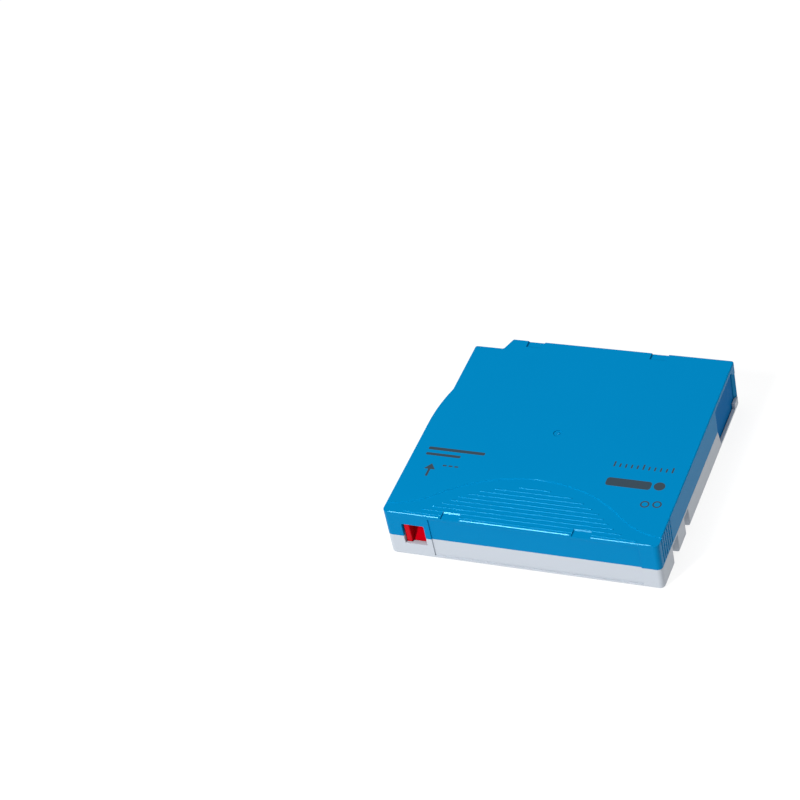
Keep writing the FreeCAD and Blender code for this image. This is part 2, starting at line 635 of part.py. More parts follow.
def locating_sockets():
    cuts, bosses = [], []
    for (x, inset_y), half in ((SOCKET_ROUND, 0.0), (SOCKET_SLOT, SOCKET_SLOT_L / 2)):
        y = REAR - inset_y
        for shapes, r, z0, z1 in ((cuts, SOCKET_R, -BEYOND, SOCKET_DEPTH),
                                  (bosses, SOCKET_R + SOCKET_WALL, FLOOR - SINK, SOCKET_DEPTH + SOCKET_WALL)):
            if half:
                shapes.append(rod(x - half, y, r, z0, z1).fuse(
                    [rod(x + half, y, r, z0, z1), box(x - half, x + half, y - r, y + r, z0, z1)]))
            else:
                shapes.append(rod(x, y, r, z0, z1))
    return cuts, bosses


def board_cradle():
    """Two 45 degree gussets under the memory board, each with a stop at the board's lower edge."""
    lean = math.sqrt(0.5)
    under = BOARD_Y + BOARD_Z - 2 * lean * (BOARD_T / 2 + CRADLE_GAP)
    stop = BOARD_Y + lean * (BOARD_W + BOARD_T) / 2 + CRADLE_GAP
    shapes, rooted = [], FLOOR - SINK
    for x in cradle_places():
        gusset = [(0, WALL_IN - SINK, rooted), (0, under - rooted, rooted),
                  (0, WALL_IN, under - WALL_IN), (0, WALL_IN - SINK, under - WALL_IN)]
        shapes.append(slab(gusset, V(x - CRADLE_T / 2, 0, 0), V(CRADLE_T, 0, 0)))
        shapes.append(box(x - CRADLE_T / 2, x + CRADLE_T / 2, stop, stop + CRADLE_STOP_T,
                          rooted, FLOOR + CRADLE_STOP_H))
    return shapes


def lower_shell():
    body = round_rim(case_prism(0, 0, PARTING_Z), 0, BOTTOM_EDGE_R)
    rim = [e for e in body.Edges if all(abs(v.Z - PARTING_Z) < 1e-6 for v in e.Vertexes)]
    body = body.makeChamfer(PARTING_BEVEL, rim)
    body = body.cut(case_prism(SIDE_WALL, FLOOR, PARTING_Z + BEYOND))
    tongue = case_prism(SIDE_WALL - TONGUE_T, PARTING_Z - BEYOND, PARTING_Z + TONGUE_H)
    tongue = tongue.cut(case_prism(SIDE_WALL, 0, HEIGHT))
    rooted = FLOOR - SINK
    bosses = [rod(x, y, BOSS_R, rooted, PARTING_Z).common(boss_room()) for x, y in screw_places()]
    seat_r = HUB_BOSS_R + OPENING_GAP
    seat = rod(REEL_X, REEL_Y, seat_r + SEAT_RING_T, rooted, FLANGE_LOW - SEAT_GAP)
    stop = box(CHANNEL_X[0] - SPRING_STOP_WIDER, RIGHT - DOOR_SKIN + SINK, CHANNEL_FRONT, STOP_REAR,
               FLOOR - DOOR_GROOVE - SINK, DOOR_SPRING_Z + SPRING_STOP_OVER)
    notches = handling_notches()
    socket_cuts, socket_bosses = locating_sockets()
    guides = slider_guides(rooted, PARTING_Z, SLIDER_Z[0] - SLIDER_GAP, True)
    cup = pin_cup(PIN_LOW - PIN_SEAT_GAP, PIN_LOW + PIN_CUP_H, rooted)
    leaf = leaf_block(rooted, PIN_LOW + LEAF_H)
    solids = [tongue, seat, leaf] + bosses + [lining for _, lining in notches] + socket_bosses
    body = body.fuse(solids + guides + cup + board_cradle())
    pocket_top = SCREW_SUNK + SCREW_HEAD_H
    holes = [rod(REEL_X, REEL_Y, seat_r, -BEYOND, FLANGE_LOW)]
    for x, y in screw_places():
        holes.append(rod(x, y, SCREW_HEAD_R + SCREW_POCKET_GAP, -BEYOND, pocket_top))
        holes.append(rod(x, y, SCREW_R + SHANK_CLEAR, -BEYOND, PARTING_Z + BEYOND))
    body = body.cut(holes + [cut for cut, _ in notches] + socket_cuts)
    body = body.cut([door_channel(), door_opening(), label_recess(), write_protect_window()])
    return body.fuse(stop).removeSplitter()


def case_screws():
    low = SCREW_SUNK
    shoulder = low + SCREW_HEAD_H
    screws = []
    for x, y in screw_places():
        shank = rod(x, y, SCREW_R, shoulder, shoulder + SCREW_LENGTH)
        screw = rod(x, y, SCREW_HEAD_R, low, shoulder).fuse(shank)
        half, wide = SCREW_CROSS_L / 2, SCREW_CROSS_W / 2
        cross = [box(x - half, x + half, y - wide, y + wide, low - BEYOND, low + SCREW_CROSS_DEPTH),
                 box(x - wide, x + wide, y - half, y + half, low - BEYOND, low + SCREW_CROSS_DEPTH)]
        screws.append(screw.cut(cross))
    return Part.makeCompound(screws)


# ---- door and write-protect slider ----
def door():
    low, high = FLOOR - DOOR_GROOVE + DOOR_CLEAR, ROOF_Z + DOOR_GROOVE - DOOR_CLEAR
    plate = box(DOOR_IN, DOOR_OUT, DOOR_FRONT, DOOR_REAR, low, high)
    plate = plate.makeFillet(DOOR_EDGE_R, [e for e in plate.Edges if upright(e)])
    root = V(DOOR_SPRING_X, DOOR_FRONT + BEYOND, DOOR_SPRING_Z)
    peg = Part.makeCylinder(PEG_R, PEG_L + BEYOND, root, V(0, -1, 0))
    return plate.fuse(peg).removeSplitter()


def door_spring():
    length = DOOR_FRONT - STOP_REAR - 2 * SPRING_SEAT_GAP
    coil = helix_spring(DOOR_SPRING_R, DOOR_SPRING_WIRE, DOOR_SPRING_TURNS, length)
    coil.rotate(V(0, 0, 0), V(1, 0, 0), -90)
    coil.translate(V(DOOR_SPRING_X, STOP_REAR + SPRING_SEAT_GAP, DOOR_SPRING_Z))
    return coil


def write_protect_slider():
    plate = box(SLIDER_LEFT, SLIDER_RIGHT, SLIDER_FRONT, SLIDER_BACK, *SLIDER_Z)
    rib_x = WINDOW_X[0] + FINGER_RIB_LEFT
    low, high = WINDOW_Z[0] + SLIDER_GAP * 2, WINDOW_Z[1] - SLIDER_GAP * 2
    clear = box(SLIDER_LEFT - BEYOND, rib_x, SLIDER_FRONT - BEYOND, SLIDER_FRONT + SLIDER_SET_BACK,
                SLIDER_Z[0] - BEYOND, SLIDER_Z[1] + BEYOND)
    rib = box(rib_x, rib_x + FINGER_RIB_W, SLIDER_FRONT - FINGER_RIB_PROUD, SLIDER_FRONT + BEYOND, low, high)
    crest = [e for e in rib.Edges if upright(e) and e.Vertexes[0].Y < SLIDER_FRONT]
    rib = rib.makeFillet(FINGER_RIB_EDGE_R, crest)
    scoop_x = rib_x + FINGER_RIB_W
    deep = SLIDER_FRONT + SCOOP_DEPTH
    slope_z = (low + high) / 2 + SCOOP_SLOPE_OVER
    profile = [(0, SLIDER_FRONT - BEYOND, low), (0, SLIDER_FRONT, low), (0, deep, slope_z),
               (0, deep, high), (0, SLIDER_FRONT - BEYOND, high)]
    scoop = slab(profile, V(scoop_x, 0, 0), V(SCOOP_W, 0, 0))
    return plate.cut([clear, scoop]).fuse(rib).removeSplitter()


# ---- reel ----
def spin(profile):
    """Solid of revolution about the reel's axis from (radius, z) points."""
    points = [V(REEL_X + r, REEL_Y, z) for r, z in profile]
    face = Part.Face(Part.makePolygon(points + points[:1]))
    return face.revolve(V(REEL_X, REEL_Y, 0), UP, 360)


def leg_angles():
    return [i * 120.0 for i in range(3)]


def away_from_legs(gap_deg):
    def keep(angle):
        return all(abs((angle - a + 180) % 360 - 180) > gap_deg for a in leg_angles())
    return keep


def at_legs(solid):
    return [around(solid, a) for a in leg_angles()]


def reel_hub():
    inner = HUB_R - HUB_WALL
    body = spin([(0, HUB_FLOOR_LOW), (HUB_BOSS_R, HUB_FLOOR_LOW), (HUB_BOSS_R, FLANGE_LOW),
                 (FLANGE_R, FLANGE_LOW), (FLANGE_R, FLANGE_LOW_TOP),
                 (HUB_R, FLANGE_LOW_TOP), (HUB_R, FLANGE_UP), (inner, FLANGE_UP),
                 (inner, FLANGE_LOW_TOP), (0, FLANGE_LOW_TOP)])
    drive_gap = math.degrees((PAD_LEG_R + PAD_LEG_GAP + DRIVE_TOOTH_W[0] / 2) / DRIVE_TOOTH_R[0])
    drive = face_teeth(DRIVE_TEETH, DRIVE_TOOTH_R, DRIVE_TOOTH_W, HUB_FLOOR_LOW, DRIVE_TIP_Z,
                       away_from_legs(drive_gap))
    arm_gap = math.degrees((PAD_ARM_W / 2 + PAD_LEG_GAP + HUB_TOOTH_W[0] / 2) / BRAKE_TOOTH_R[0])
    brake = face_teeth(BRAKE_TEETH, BRAKE_TOOTH_R, HUB_TOOTH_W, FLANGE_LOW_TOP, HUB_TOOTH_TIP_Z,
                       away_from_legs(arm_gap))
    stake = rod(REEL_X + STAKE_AT, REEL_Y, STAKE_R, HUB_FLOOR_LOW - PLATE_T, HUB_FLOOR_LOW + SINK)
    stakes = [around(solid, 60) for solid in at_legs(stake)]
    body = body.fuse(drive + brake + stakes)
    hole = rod(REEL_X + PAD_LEG_AT, REEL_Y, PAD_LEG_R + PAD_LEG_GAP, 0, FLANGE_LOW_TOP + BEYOND)
    return body.cut(at_legs(hole)).removeSplitter()


def reel_upper_flange():
    fit = HUB_R - HUB_WALL - PACK_GAP
    top = FLANGE_UP + FLANGE_T
    spigot_low = FLANGE_UP - SPIGOT_H
    return spin([(FLANGE_BORE_R, FLANGE_UP), (fit - SPIGOT_T, FLANGE_UP), (fit - SPIGOT_T, spigot_low),
                 (fit, spigot_low), (fit, FLANGE_UP), (FLANGE_R, FLANGE_UP),
                 (FLANGE_R, top), (FLANGE_BORE_R, top)])


def reel_plate():
    plate = ring(REEL_X, REEL_Y, *PLATE_R, HUB_FLOOR_LOW - PLATE_T, HUB_FLOOR_LOW)
    hole = rod(REEL_X + STAKE_AT, REEL_Y, STAKE_R + STAKE_GAP, 0, HUB_FLOOR_LOW + BEYOND)
    return plate.cut([around(solid, 60) for solid in at_legs(hole)])


def tape_pack():
    return ring(REEL_X, REEL_Y, HUB_R + PACK_GAP, PACK_R, TAPE_LOW, TAPE_TOP)


# ---- brake and release pad ----
def brake_button():
    teeth = face_teeth(BRAKE_TEETH, BRAKE_TOOTH_R, BRAKE_TOOTH_W, BRAKE_LOW, BRAKE_LOW - BRAKE_TOOTH_H)
    half_pitch = 180.0 / BRAKE_TEETH
    seat_out, seat_top = BRAKE_SEAT_R + SEAT_WALL_T, BRAKE_TOP + SEAT_WALL_H
    disc = spin([(0, BRAKE_LOW), (BRAKE_R, BRAKE_LOW), (BRAKE_R, BRAKE_TOP), (seat_out, BRAKE_TOP),
                 (seat_out, seat_top), (BRAKE_SEAT_R, seat_top), (BRAKE_SEAT_R, BRAKE_TOP), (0, BRAKE_TOP)])
    post = rod(REEL_X, REEL_Y, BRAKE_POST_R, BRAKE_TOP - SINK, BRAKE_TOP + BRAKE_POST_H)
    slot_z = BRAKE_TOP + BRAKE_SLOT_FLOOR
    wide, far = BRAKE_SLOT_W / 2, BRAKE_POST_R + BEYOND
    slots = [box(REEL_X - far, REEL_X + far, REEL_Y - wide, REEL_Y + wide, slot_z, HEIGHT),
             box(REEL_X - wide, REEL_X + wide, REEL_Y - far, REEL_Y + far, slot_z, HEIGHT)]
    nub_tip = PAD_TOP + PAD_GAP
    nub = Part.makeCone(*NUB_R, BRAKE_LOW + SINK - nub_tip, V(REEL_X, REEL_Y, nub_tip), UP)
    teeth = [around(t, half_pitch) for t in teeth]
    return disc.fuse(teeth + [post.cut(slots), nub]).removeSplitter()


def brake_spring():
    length = ROOF_Z - BRAKE_TOP - 2 * SPRING_SEAT_GAP
    coil = helix_spring(BRAKE_SPRING_R, BRAKE_SPRING_WIRE, BRAKE_SPRING_TURNS, length)
    coil.translate(V(REEL_X, REEL_Y, BRAKE_TOP + SPRING_SEAT_GAP))
    return coil


def release_pad():
    reach = PAD_LEG_AT + PAD_LEG_R
    arm = box(REEL_X, REEL_X + reach, REEL_Y - PAD_ARM_W / 2, REEL_Y + PAD_ARM_W / 2, PAD_LOW, PAD_TOP)
    arm = arm.makeFillet(PAD_TIP_R, [e for e in arm.Edges if upright(e) and e.Vertexes[0].X > REEL_X])
    leg = rod(REEL_X + PAD_LEG_AT, REEL_Y, PAD_LEG_R, DRIVE_TIP_Z + PAD_LEG_SHY, PAD_LOW + SINK)
    hub = rod(REEL_X, REEL_Y, PAD_HUB_R, PAD_LOW, PAD_TOP)
    return hub.fuse(at_legs(arm) + at_legs(leg)).removeSplitter()


# ---- leader ----
def film_heading():
    """Direction and length from the pin's axis to where the film meets the pack, at the rear."""
    dx, dy = REEL_X - PIN_X, REEL_Y - PIN_Y
    span = math.hypot(dx, dy)
    touch_r = PACK_R + FILM_PACK_GAP + FILM_T / 2
    swing = math.asin(touch_r / span)
    return math.atan2(dy, dx) - swing, math.sqrt(span ** 2 - touch_r ** 2)


def leader_pin():
    pin = rod(PIN_X, PIN_Y, PIN_R, PIN_LOW, PIN_TOP)
    discs = [rod(PIN_X, PIN_Y, PIN_END_R, PIN_LOW, PIN_LOW + PIN_END_T),
             rod(PIN_X, PIN_Y, PIN_END_R, PIN_TOP - PIN_END_T, PIN_TOP)]
    return pin.fuse(discs).removeSplitter()


def leader_pin_clamp():
    heading, _ = film_heading()
    tube = ring(PIN_X, PIN_Y, *CLAMP_R, TAPE_LOW + CLAMP_SHY, TAPE_TOP - CLAMP_SHY)
    half = math.radians(CLAMP_MOUTH_DEG / 2)
    far = 2 * CLAMP_R[1]
    mouth = slab([(0, 0, 0), (far * math.cos(heading - half), far * math.sin(heading - half), 0),
                  (far * math.cos(heading + half), far * math.sin(heading + half), 0)],
                 V(PIN_X, PIN_Y, TAPE_LOW), V(0, 0, TAPE_WIDTH))
    return tube.cut(mouth)


def tape_leader():
    heading, length = film_heading()
    strip = box(PIN_R + FILM_PIN_GAP, length, -FILM_T / 2, FILM_T / 2, TAPE_LOW, TAPE_TOP)
    strip.rotate(V(0, 0, 0), UP, math.degrees(heading))
    strip.translate(V(PIN_X, PIN_Y, 0))
    return strip


def leader_spring(z0):
    """Bent leaf: one arm along the pin's open side, hooked into its block at the rear."""
    y0, y1 = PIN_Y - LEAF_FRONT, PIN_Y + LEAF_REAR
    end = LEAF_BEND_R
    outer = [(LEAF_X, y0, end), (LEAF_X + LEAF_T, y0, end), (LEAF_X + LEAF_T, y1, LEAF_BOW + LEAF_T),
             (LEAF_X - LEAF_HOOK, y1, end), (LEAF_X - LEAF_HOOK, y1 - LEAF_T, end),
             (LEAF_X, y1 - LEAF_T, LEAF_BOW)]
    return prism(rounded_wire(outer), z0, z0 + LEAF_H - LEAF_SHY)


# ---- memory board ----
def lean_over(solid):
    """Lay a flat piece made about the origin on the 45 degree cradle."""
    leant = solid.copy()
    leant.rotate(V(0, 0, 0), V(1, 0, 0), -45)
    leant.translate(V(BOARD_X, BOARD_Y, BOARD_Z))
    return leant


def memory_board():
    board = box(-BOARD_L / 2, BOARD_L / 2, -BOARD_W / 2, BOARD_W / 2, -BOARD_T / 2, BOARD_T / 2)
    return lean_over(board.makeFillet(BOARD_EDGE_R, [e for e in board.Edges if upright(e)]))


def memory_chip():
    half = CHIP_L / 2
    return lean_over(box(-half, half, -half, half, BOARD_T / 2, BOARD_T / 2 + CHIP_T))


NODES = {
    "upper_shell": upper_shell,
    "lower_shell": lower_shell,
    "case_screws": case_screws,
    "door": door,
    "door_spring": door_spring,
    "write_protect_slider": write_protect_slider,
    "reel_hub": reel_hub,
    "reel_upper_flange": reel_upper_flange,
    "reel_plate": reel_plate,
    "tape_pack": tape_pack,
    "brake_button": brake_button,
    "brake_spring": brake_spring,
    "release_pad": release_pad,
    "leader_pin": leader_pin,
    "leader_pin_clamp": leader_pin_clamp,
    "tape_leader": tape_leader,
    "leader_spring_lower": lambda: leader_spring(PIN_LOW + SINK),
    "leader_spring_upper": lambda: leader_spring(PIN_TOP - LEAF_H + PIN_SEAT_GAP),
    "memory_board": memory_board,
    "memory_chip": memory_chip,
}

os.makedirs("parts", exist_ok=True)
for node, make in NODES.items():
    shape = make()
    shape.exportStep("parts/%s.step" % node)
    print("%-22s solids %d  volume %.1f  valid %s" % (node, len(shape.Solids), shape.Volume, shape.isValid()))
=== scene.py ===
"""Finish, print and studio for the half-inch data tape cartridge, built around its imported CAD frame."""

import json
import math

import bmesh
import bpy
from mathutils import Matrix, Vector


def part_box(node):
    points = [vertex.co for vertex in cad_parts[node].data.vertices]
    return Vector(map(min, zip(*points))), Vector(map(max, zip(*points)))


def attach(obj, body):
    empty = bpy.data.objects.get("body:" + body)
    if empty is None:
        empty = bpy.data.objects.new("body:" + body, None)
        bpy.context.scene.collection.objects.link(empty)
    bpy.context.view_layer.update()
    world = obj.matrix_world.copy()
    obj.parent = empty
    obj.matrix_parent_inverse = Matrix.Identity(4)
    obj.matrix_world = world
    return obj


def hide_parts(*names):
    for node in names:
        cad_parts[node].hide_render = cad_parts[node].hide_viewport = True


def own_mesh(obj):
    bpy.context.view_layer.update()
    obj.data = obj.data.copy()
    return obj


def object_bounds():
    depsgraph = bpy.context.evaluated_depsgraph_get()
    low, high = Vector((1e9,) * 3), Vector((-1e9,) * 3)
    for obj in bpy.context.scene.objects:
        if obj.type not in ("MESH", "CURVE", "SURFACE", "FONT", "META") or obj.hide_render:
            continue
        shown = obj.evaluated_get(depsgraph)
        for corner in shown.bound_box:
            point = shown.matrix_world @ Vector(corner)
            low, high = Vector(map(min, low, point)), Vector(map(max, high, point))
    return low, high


MM = 0.001
UP = Vector((0, 0, 1))

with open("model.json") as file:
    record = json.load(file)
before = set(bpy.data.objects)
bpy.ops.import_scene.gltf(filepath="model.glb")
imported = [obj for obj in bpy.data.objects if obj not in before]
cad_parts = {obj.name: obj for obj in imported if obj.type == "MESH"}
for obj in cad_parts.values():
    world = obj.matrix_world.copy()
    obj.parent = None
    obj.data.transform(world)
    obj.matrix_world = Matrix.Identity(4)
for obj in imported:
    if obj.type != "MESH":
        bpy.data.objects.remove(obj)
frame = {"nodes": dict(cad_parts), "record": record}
cad_low, cad_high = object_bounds()

# ---- places read from the frame ----
UPPER_LOW, UPPER_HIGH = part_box("upper_shell")
TOP_Z = UPPER_HIGH.z
LEFT_X = UPPER_LOW.x
FRONT_Y = UPPER_LOW.y
HUB_LOW, HUB_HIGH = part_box("reel_hub")
REEL_AXIS = (HUB_LOW + HUB_HIGH) / 2
DOOR_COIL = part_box("door_spring")
BRAKE_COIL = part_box("brake_spring")

# ---- sizes of what is added here, in mm ----
INK_THICKNESS = 0.015
INK_SUNK = 0.01             # how far the ink goes into the top, so that no gap shows
GATE_DEPTH = 0.3            # the dimple's floor, below the top
NUB_R = 0.75
NUB_HEIGHT = 0.28
NUB_FOOT = 0.06             # how far the nub goes into the dimple's floor
NUB_SIDES = 24
NUB_TEAR = 0.12             # share by which its three torn lobes stray from round
NUB_TURN = 0.7              # turn of those lobes, in radians
DOOR_WIRE = 0.4
DOOR_TURNS = 11
BRAKE_WIRE = 0.8
BRAKE_TURNS = 4
CLOSED_TURNS = 1.0          # dead turn at each end of a coil
WIRE_SIDES = 12
STEPS_PER_TURN = 28
CREST_RUNS = ((2.0, 22.95), (29.95, 73.1), (80.1, 103.4))      # from the left side
CREST_TAPER = 0.8
CREST_DROP = 0.4            # foot of the crest, below the top
CREST_END = 0.15            # share of its height that is left at an end
CREST_PROFILE = ((0.02, 0.0), (0.3, 0.28), (0.36, 0.28), (0.54, 0.1), (0.54, 0.02), (0.06, -0.05))
NOTCH_RUNS = ((23.15, 29.75), (73.3, 79.9))                     # from the left side
LIP_PROFILE = ((3.25, -0.77), (3.63, -0.29), (3.7, -0.32), (3.5, -0.8))
POST_Z = (4.12, 16.18)      # from the lower corner block to the top's gusset
POST_PROFILE = ((1.75, 1.98), (1.75, 2.07), (1.14, 2.07), (0.34, 0.22), (0.38, 0.1), (0.5, 0.05),
                (0.6, 0.09))

# ---- where the camera stands ----
CAMERA_PLACE = (285.9, -616.8, 605.4)
CAMERA_AHEAD = (-0.3825, 0.6755, -0.6304)
CAMERA_ROLL = 13.25         # degrees
CAMERA_LENS = 108.3
CAMERA_SENSOR = 36.0


# ---- small helpers ----
def srgb(code):
    """Linear RGBA of a #rrggbb colour."""
    parts = [int(code[i:i + 2], 16) / 255 for i in (1, 3, 5)]
    return tuple(c / 12.92 if c <= 0.04045 else ((c + 0.055) / 1.055) ** 2.4 for c in parts) + (1.0,)


def add_node(tree, kind, links=None, **settings):
    """A shader node with its properties, socket values and incoming links."""
    node = tree.nodes.new(kind)
    for name, value in settings.items():
        if hasattr(node, name):
            setattr(node, name, value)
        else:
            node.inputs[name.replace("_", " ")].default_value = value
    for name, source in (links or {}).items():
        tree.links.new(source, node.inputs[name])
    return node


def new_material(name, **sockets):
    """A material with a Principled shader wired to its output, and its plain socket values."""
    material = bpy.data.materials.new(name)
    material.use_nodes = True
    tree = material.node_tree
    tree.nodes.clear()
    shader = add_node(tree, "ShaderNodeBsdfPrincipled", **sockets)
    add_node(tree, "ShaderNodeOutputMaterial", {"Surface": shader.outputs["BSDF"]})
    return material, tree, shader


# ---- materials ----
def moulded_plastic(name, colour, shade, roughness, grain_mm, grain_depth_mm, edge_mm,
                    scuffed=0.0, polish=0.14, **sockets):
    """Moulded plastic: a tool's grain, a faint drift of tint, and soft edges that handling has polished.

    The grain is drawn a little coarser than the real one so that it shows.
    """
    drift_mm, scuff_mm = 35, 0.5
    material, tree, shader = new_material(name, **sockets)
    place = add_node(tree, "ShaderNodeTexCoord").outputs["Object"]
    drift = add_node(tree, "ShaderNodeTexNoise", {"Vector": place}, Scale=1 / (drift_mm * MM), Detail=3.0)
    grain = add_node(tree, "ShaderNodeTexNoise", {"Vector": place}, Scale=1 / (grain_mm * MM), Detail=2.0)
    edge = add_node(tree, "ShaderNodeBevel", samples=12, Radius=edge_mm * MM)
    slant = add_node(tree, "ShaderNodeVectorMath", {0: edge.outputs["Normal"]}, operation="ABSOLUTE")
    facing = add_node(tree, "ShaderNodeSeparateXYZ", {"Vector": slant.outputs["Vector"]}).outputs
    sides = add_node(tree, "ShaderNodeMath", {0: facing["X"], 1: facing["Y"]}, operation="MAXIMUM")
    squarely = add_node(tree, "ShaderNodeMath", {0: sides.outputs["Value"], 1: facing["Z"]},
                        operation="MAXIMUM")
    rubbed = add_node(tree, "ShaderNodeMapRange", {"Value": squarely.outputs["Value"]},
                      From_Min=0.99, From_Max=0.9, To_Max=-polish)
    gloss = add_node(tree, "ShaderNodeMapRange", {"Value": grain.outputs["Fac"]},
                     To_Min=roughness - 0.05, To_Max=roughness + 0.05)
    sheen = add_node(tree, "ShaderNodeMath", {0: rubbed.outputs["Result"], 1: gloss.outputs["Result"]})
    if scuffed:
        along = add_node(tree, "ShaderNodeMapping", {"Vector": place}, Scale=(1, 0.02, 1))
        lines = add_node(tree, "ShaderNodeTexNoise", {"Vector": along.outputs["Vector"]},
                         Scale=1 / (scuff_mm * MM), Detail=2.0)
        sparse = add_node(tree, "ShaderNodeMapRange", {"Value": lines.outputs["Fac"]},
                          From_Min=0.6, From_Max=0.8, To_Max=-scuffed)
        sheen = add_node(tree, "ShaderNodeMath", {0: sheen.outputs["Value"], 1: sparse.outputs["Result"]})
    relief = add_node(tree, "ShaderNodeBump",
                      {"Height": grain.outputs["Fac"], "Normal": edge.outputs["Normal"]},
                      Distance=grain_depth_mm * MM)
    pigment = add_node(tree, "ShaderNodeMix", {"Factor": drift.outputs["Fac"]}, data_type="RGBA",
                       A=srgb(colour), B=srgb(shade))
    tree.links.new(pigment.outputs["Result"], shader.inputs["Base Color"])
    tree.links.new(sheen.outputs["Value"], shader.inputs["Roughness"])
    tree.links.new(relief.outputs["Normal"], shader.inputs["Normal"])
    return material


def worked_metal(name, colour, roughness, line_mm, line_depth_mm, stretch):
    """Bright metal with the fine marks of its making, drawn into lines where its pattern is stretched."""
    material, tree, shader = new_material(name, Base_Color=srgb(colour), Metallic=1.0)
    place = add_node(tree, "ShaderNodeTexCoord").outputs["Object"]
    along = add_node(tree, "ShaderNodeMapping", {"Vector": place}, Scale=stretch)
    lines = add_node(tree, "ShaderNodeTexNoise", {"Vector": along.outputs["Vector"]},
                     Scale=1 / (line_mm * MM), Detail=3.0)
    gloss = add_node(tree, "ShaderNodeMapRange", {"Value": lines.outputs["Fac"]},
                     To_Min=roughness - 0.08, To_Max=roughness + 0.08)
    edge = add_node(tree, "ShaderNodeBevel", samples=4, Radius=0.08 * MM)
    relief = add_node(tree, "ShaderNodeBump",
                      {"Height": lines.outputs["Fac"], "Normal": edge.outputs["Normal"]},
                      Distance=line_depth_mm * MM)
    tree.links.new(gloss.outputs["Result"], shader.inputs["Roughness"])
    tree.links.new(relief.outputs["Normal"], shader.inputs["Normal"])
    return material


def blue_polycarbonate():
    """Case top: polycarbonate from a satin, spark-eroded tool. The pigment tints its soft sheen."""
    return moulded_plastic("blue_moulded_polycarbonate", "#007AB0", "#007CB3", 0.36, 0.35, 0.006, 0.2,
                           scuffed=0.03, polish=0.25, IOR=1.58, Specular_IOR_Level=0.032,
                           Specular_Tint=srgb("#5CD8FF"))


def door_polycarbonate_painted_shade():
    """Door: blue polycarbonate from a duller tool face, so that it slides behind the wall without shine.
    Its colour is a darker, bluer copy of the case's blue: painted shade for the shade it sits in behind the
    wall.
    """
    # painted shade: #006BAC and #006DAE are the case's blue made darker and bluer for the door's shaded
    # recess
    return moulded_plastic("blue_sliding_polycarbonate", "#006BAC", "#006DAE", 0.5, 0.35, 0.006, 0.12,
                           scuffed=0.1, IOR=1.58, Specular_IOR_Level=0.01, Specular_Tint=srgb("#00D2FF"))


def burnished_polycarbonate():
    """Front crests, notch lips and gate nub: the case's blue, polished by use, so that it flashes."""
    return moulded_plastic("burnished_blue_polycarbonate", "#007AB0", "#007CB3", 0.34, 0.35, 0.002, 0.05,
                           IOR=1.58, Specular_IOR_Level=0.34, Specular_Tint=srgb("#8CE8FF"))


def grey_polycarbonate():
    """Case bottom: the same polycarbonate in pale grey, with a dry, even sheen."""
    return moulded_plastic("grey_moulded_polycarbonate", "#B8BFC8", "#BBC2CB", 0.42, 0.35, 0.006, 0.2,
                           scuffed=0.08, IOR=1.58, Specular_IOR_Level=0.2)


def red_acetal():
    """Write-protect slider: smooth moulded acetal, glossier than the case."""
    return moulded_plastic("red_moulded_acetal", "#C40014", "#BC0012", 0.26, 0.5, 0.002, 0.12,
                           IOR=1.48, Specular_IOR_Level=0.1, Specular_Tint=srgb("#FF9A9A"))


def natural_polycarbonate():
    """Reel hub: unpigmented polycarbonate, milky and slightly glossy."""
    return moulded_plastic("natural_moulded_polycarbonate", "#D9DAD6", "#D2D4D0", 0.33, 0.5, 0.003, 0.1,
                           IOR=1.58, Subsurface_Weight=0.1, Subsurface_Scale=0.8 * MM)


def clear_polycarbonate():
    """Upper flange: clear polycarbonate, smooth, with the wound tape showing through."""
    return moulded_plastic("clear_moulded_polycarbonate", "#E6ECF0", "#E1E8ED", 0.12, 1.5, 0.002, 0.1,
                           IOR=1.58, Transmission_Weight=0.7)


def ivory_acetal():
    """Brake button: moulded acetal, waxy and ivory."""
    return moulded_plastic("ivory_moulded_acetal", "#E4DDCB", "#DED6C3", 0.4, 0.4, 0.003, 0.1, IOR=1.48)


def black_acetal():
    """Release pad: carbon-filled acetal, nearly black with a low sheen."""
    return moulded_plastic("black_moulded_acetal", "#1C1D1F", "#222326", 0.38, 0.4, 0.003, 0.1, IOR=1.48)


def black_nylon():
    """Leader pin clamp: moulded nylon, a little greyer and drier than the acetal."""
    return moulded_plastic("black_moulded_nylon", "#2B2C30", "#323338", 0.5, 0.3, 0.004, 0.05, IOR=1.53)


def chip_epoxy():
    """Memory chip: black moulding epoxy with a matte, gritty face."""
    return moulded_plastic("black_moulding_epoxy", "#141416", "#19191B", 0.62, 0.15, 0.004, 0.05, IOR=1.55)


def printing_ink():
    """Marks on the top: two-part screen ink, flat and slightly mottled over the satin plastic."""
    return moulded_plastic("screen_printed_ink", "#30434F", "#283A46", 0.5, 0.25, 0.003, 0.01, IOR=1.5,
                           Specular_IOR_Level=0.3)


